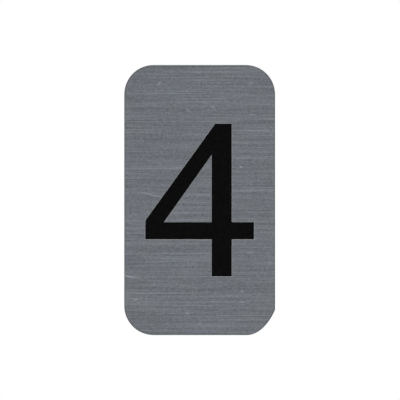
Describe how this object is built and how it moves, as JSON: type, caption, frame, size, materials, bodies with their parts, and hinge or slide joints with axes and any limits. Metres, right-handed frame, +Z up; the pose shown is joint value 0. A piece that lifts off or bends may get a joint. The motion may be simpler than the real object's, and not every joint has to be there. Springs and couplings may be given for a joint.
{
  "type": "adhesive number plate",
  "caption": "Small upright brushed-aluminium plate with rounded corners, a black enamel-filled engraved numeral on its face and a layer of adhesive foam tape on its back.",
  "frame": {"origin": "middle of the adhesive tape's sticky face, which is the face that goes on the door", "axes": "+Z up along the numeral's stem, +X to the reader's right, and the engraved face looks along -Y, so +Y points into the door"},
  "size_m": [0.0246, 0.0023, 0.044],
  "materials": {
    "brushed_aluminium": "satin",
    "black_enamel": "matte",
    "foam_tape": "matte"
  },
  "bodies": {
    "root": {"plate": "brushed_aluminium", "numeral": "black_enamel", "adhesive_tape": "foam_tape"}
  },
  "joints": []
}
